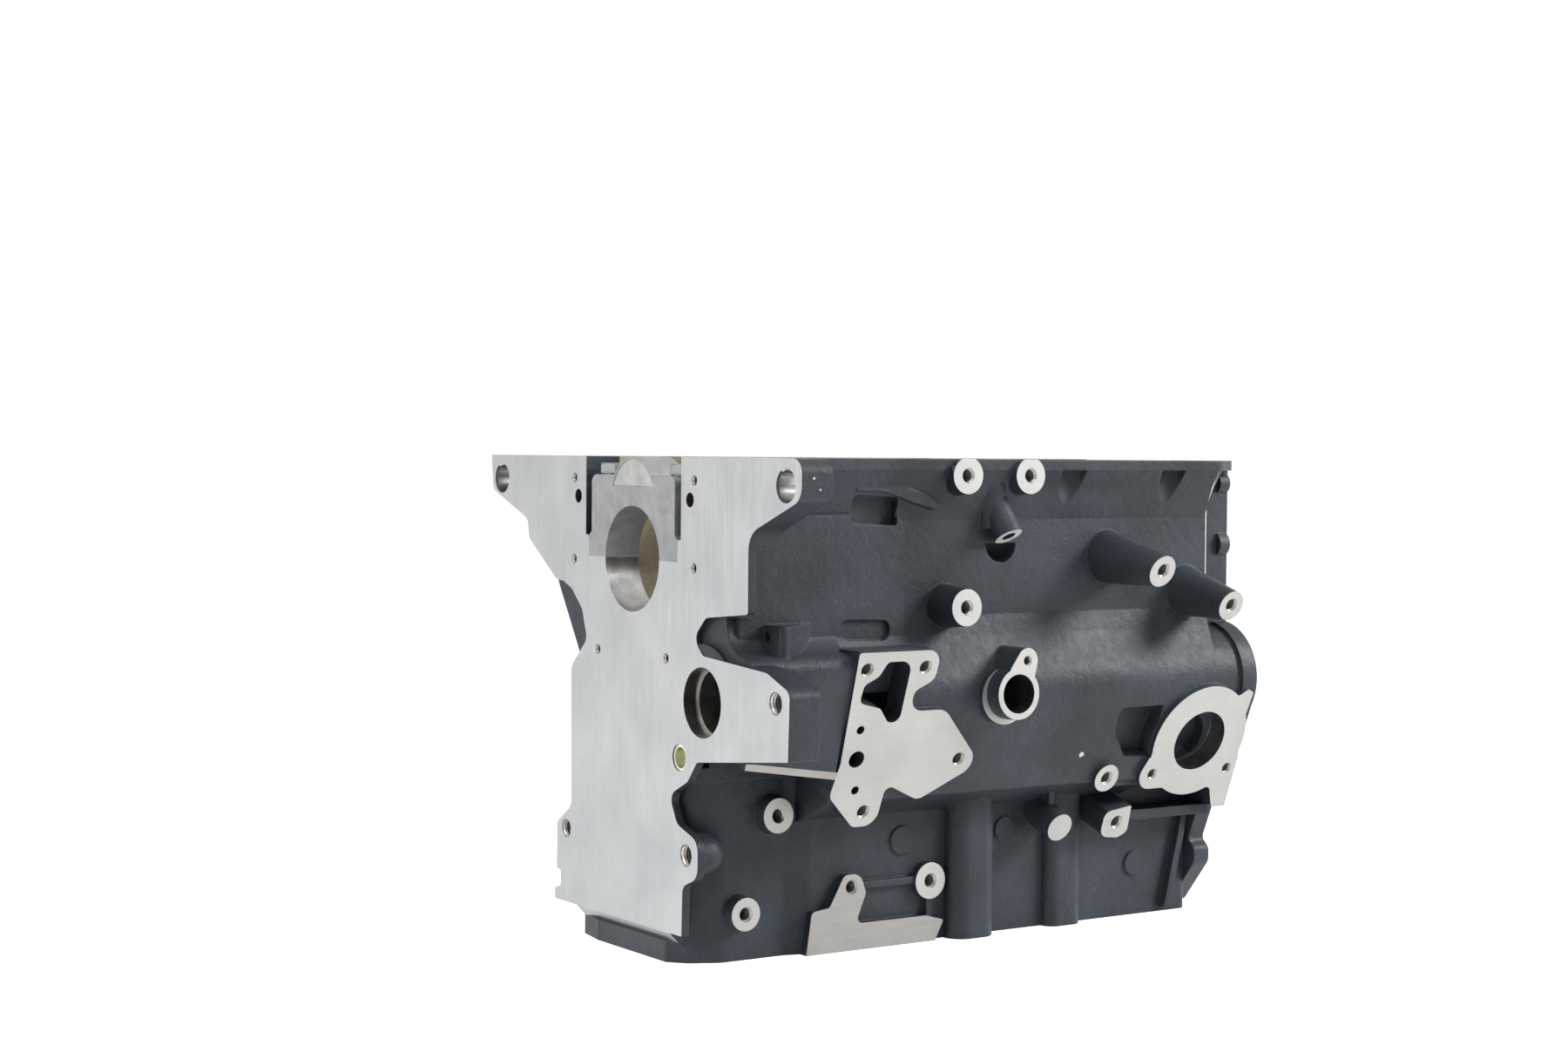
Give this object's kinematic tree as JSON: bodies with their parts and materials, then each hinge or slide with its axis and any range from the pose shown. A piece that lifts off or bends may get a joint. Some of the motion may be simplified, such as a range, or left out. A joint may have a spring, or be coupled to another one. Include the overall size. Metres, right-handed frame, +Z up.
{
  "type": "cylinder block",
  "caption": "Bare inline-four cast-iron engine block, upside down on its head face, with bolted main caps, filter and pump flanges, tapered mounting arms and pan rail.",
  "frame": {"origin": "mid-length on the cylinder head face, below the crank axis", "axes": "+X to the timing end along the crank, +Y to the far side away from the filter flange, +Z up from the head face to the sump rail"},
  "size_m": [0.374, 0.337, 0.2769],
  "materials": {
    "block_casting": "sand-cast, thin dark coat, machined faces bare",
    "cap_casting": "sand-cast, milled sides",
    "bolt_steel": "blackened steel",
    "zinc_plug": "yellow passivated zinc",
    "core_plug_steel": "pressed steel",
    "bush_lining": "steel-backed white metal"
  },
  "bodies": {
    "root": {"cylinder_block": "block_casting", "main_cap_1": "cap_casting", "main_cap_2": "cap_casting", "main_cap_3": "cap_casting", "main_cap_4": "cap_casting", "main_cap_5": "cap_casting", "main_cap_bolts": "bolt_steel", "gallery_plug_rear": "zinc_plug", "gallery_plug_front": "zinc_plug", "core_plugs": "core_plug_steel", "shaft_bush_rear": "bush_lining", "shaft_bush_front": "bush_lining"}
  },
  "joints": []
}
